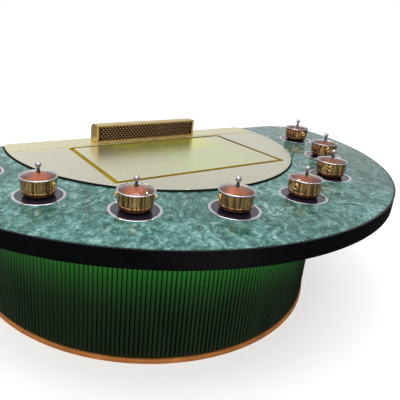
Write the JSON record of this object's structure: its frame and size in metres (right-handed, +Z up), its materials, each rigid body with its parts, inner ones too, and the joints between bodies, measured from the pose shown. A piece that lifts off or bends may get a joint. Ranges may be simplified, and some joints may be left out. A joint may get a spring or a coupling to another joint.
{
  "type": "teppanyaki table",
  "caption": "Half-round chef's table with a griddle in a brass deck, a rising extraction hood, lidded pots on flush cookers along the stone edge, and a fluted curved base.",
  "frame": {"origin": "on the floor, under the middle of the table's outline box", "axes": "+X along the table's length, to the right for a guest looking in; +Y towards the chef's straight side; +Z up"},
  "size_m": [2.7894, 1.55, 0.9241],
  "materials": {
    "green_marble": "polished green marble with pale veins",
    "black_lacquer": "black gloss edge",
    "plywood": "raw board",
    "brass_sheet": "satin champagne brass sheet",
    "black_rubber": "black joint",
    "gold_trim": "satin gold",
    "griddle_steel": "brushed plate",
    "zinc_sheet": "dull sheet",
    "black_plastic": "matt",
    "bronze_strip": "satin bronze",
    "cabinet_laminate": "dark green laminate",
    "green_lacquer": "deep green gloss",
    "light_diffuser": "opal strip",
    "polished_steel": "polished",
    "polished_gold": "polished gold",
    "black_glass": "black ceramic glass",
    "lid_glass": "clear domed glass with a steel rim"
  },
  "bodies": {
    "root": {"stone_top": "green_marble", "edge_band": "black_lacquer", "counter_board": "plywood", "deck_plate": "brass_sheet", "deck_seal": "black_rubber", "grease_gutter": "gold_trim", "griddle_plate": "griddle_steel", "heater_box": "gold_trim", "hood_duct": "zinc_sheet", "blower_housing": "zinc_sheet", "lift_motor": "black_plastic", "plinth_frame": "bronze_strip", "cabinet_floor": "cabinet_laminate", "cabinet_liner": "plywood", "fluted_panel": "green_lacquer", "light_strip": "light_diffuser", "service_panel": "cabinet_laminate", "control_plate": "zinc_sheet", "cooker_trim_1": "polished_steel", "cooker_1": "black_glass", "cooker_trim_2": "polished_steel", "cooker_2": "black_glass", "cooker_trim_3": "polished_steel", "cooker_3": "black_glass", "cooker_trim_4": "polished_steel", "cooker_4": "black_glass", "cooker_trim_5": "polished_steel", "cooker_5": "black_glass", "cooker_trim_6": "polished_steel", "cooker_6": "black_glass", "cooker_trim_7": "polished_steel", "cooker_7": "black_glass", "cooker_trim_8": "polished_steel", "cooker_8": "black_glass"},
    "hood": {"hood_shell": "gold_trim", "hood_grille": "gold_trim", "lift_rod": "polished_steel"},
    "blower_rotor": {"blower_wheel": "zinc_sheet"},
    "door_left": {"door_left": "cabinet_laminate"},
    "door_right": {"door_right": "cabinet_laminate"},
    "grease_drawer": {"grease_drawer": "zinc_sheet"},
    "griddle_knob_left": {"griddle_knob_left": "black_plastic"},
    "griddle_knob_right": {"griddle_knob_right": "black_plastic"},
    "hood_button": {"hood_button": "black_plastic"},
    "pot_1": {"pot_1": "polished_gold"},
    "pot_lid_1": {"pot_lid_1": "lid_glass"},
    "pot_2": {"pot_2": "polished_gold"},
    "pot_lid_2": {"pot_lid_2": "lid_glass"},
    "pot_3": {"pot_3": "polished_gold"},
    "pot_lid_3": {"pot_lid_3": "lid_glass"},
    "pot_4": {"pot_4": "polished_gold"},
    "pot_lid_4": {"pot_lid_4": "lid_glass"},
    "pot_5": {"pot_5": "polished_gold"},
    "pot_lid_5": {"pot_lid_5": "lid_glass"},
    "pot_6": {"pot_6": "polished_gold"},
    "pot_lid_6": {"pot_lid_6": "lid_glass"},
    "pot_7": {"pot_7": "polished_gold"},
    "pot_lid_7": {"pot_lid_7": "lid_glass"},
    "pot_8": {"pot_8": "polished_gold"},
    "pot_lid_8": {"pot_lid_8": "lid_glass"}
  },
  "joints": [
    {"name": "hood_lift", "type": "slide", "parent": "root", "child": "hood", "axis": [0, 0, 1], "range_m": [-0.106, 0]},
    {"name": "blower_spin", "type": "hinge", "parent": "root", "child": "blower_rotor", "pos_m": [-0.4363, 0.67, 0.6], "axis": [1, 0, 0], "continuous": true},
    {"name": "door_left_hinge", "type": "hinge", "parent": "root", "child": "door_left", "pos_m": [0.98, 0.765, 0.362], "axis": [0, 0, -1], "range_deg": [0, 100]},
    {"name": "door_right_hinge", "type": "hinge", "parent": "root", "child": "door_right", "pos_m": [-0.98, 0.765, 0.362], "axis": [0, 0, 1], "range_deg": [0, 100]},
    {"name": "drawer_slide", "type": "slide", "parent": "root", "child": "grease_drawer", "axis": [0, 1, 0], "range_m": [0, 0.28]},
    {"name": "griddle_knob_left_turn", "type": "hinge", "parent": "root", "child": "griddle_knob_left", "pos_m": [0.12, 0.763, 0.63], "axis": [0, -1, 0], "range_deg": [0, 270]},
    {"name": "griddle_knob_right_turn", "type": "hinge", "parent": "root", "child": "griddle_knob_right", "pos_m": [-0.12, 0.763, 0.63], "axis": [0, -1, 0], "range_deg": [0, 270]},
    {"name": "hood_button_press", "type": "slide", "parent": "root", "child": "hood_button", "axis": [0, -1, 0], "range_m": [0, 0.003], "stiffness_N_per_m": 300},
    {"name": "pot_1_lift", "type": "slide", "parent": "root", "child": "pot_1", "axis": [0, 0, 1], "range_m": [0, 0.15]},
    {"name": "pot_lid_1_lift", "type": "slide", "parent": "pot_1", "child": "pot_lid_1", "axis": [0, 0, 1], "range_m": [0, 0.1]},
    {"name": "pot_2_lift", "type": "slide", "parent": "root", "child": "pot_2", "axis": [0, 0, 1], "range_m": [0, 0.15]},
    {"name": "pot_lid_2_lift", "type": "slide", "parent": "pot_2", "child": "pot_lid_2", "axis": [0, 0, 1], "range_m": [0, 0.1]},
    {"name": "pot_3_lift", "type": "slide", "parent": "root", "child": "pot_3", "axis": [0, 0, 1], "range_m": [0, 0.15]},
    {"name": "pot_lid_3_lift", "type": "slide", "parent": "pot_3", "child": "pot_lid_3", "axis": [0, 0, 1], "range_m": [0, 0.1]},
    {"name": "pot_4_lift", "type": "slide", "parent": "root", "child": "pot_4", "axis": [0, 0, 1], "range_m": [0, 0.15]},
    {"name": "pot_lid_4_lift", "type": "slide", "parent": "pot_4", "child": "pot_lid_4", "axis": [0, 0, 1], "range_m": [0, 0.1]},
    {"name": "pot_5_lift", "type": "slide", "parent": "root", "child": "pot_5", "axis": [0, 0, 1], "range_m": [0, 0.15]},
    {"name": "pot_lid_5_lift", "type": "slide", "parent": "pot_5", "child": "pot_lid_5", "axis": [0, 0, 1], "range_m": [0, 0.1]},
    {"name": "pot_6_lift", "type": "slide", "parent": "root", "child": "pot_6", "axis": [0, 0, 1], "range_m": [0, 0.15]},
    {"name": "pot_lid_6_lift", "type": "slide", "parent": "pot_6", "child": "pot_lid_6", "axis": [0, 0, 1], "range_m": [0, 0.1]},
    {"name": "pot_7_lift", "type": "slide", "parent": "root", "child": "pot_7", "axis": [0, 0, 1], "range_m": [0, 0.15]},
    {"name": "pot_lid_7_lift", "type": "slide", "parent": "pot_7", "child": "pot_lid_7", "axis": [0, 0, 1], "range_m": [0, 0.1]},
    {"name": "pot_8_lift", "type": "slide", "parent": "root", "child": "pot_8", "axis": [0, 0, 1], "range_m": [0, 0.15]},
    {"name": "pot_lid_8_lift", "type": "slide", "parent": "pot_8", "child": "pot_lid_8", "axis": [0, 0, 1], "range_m": [0, 0.1]}
  ]
}
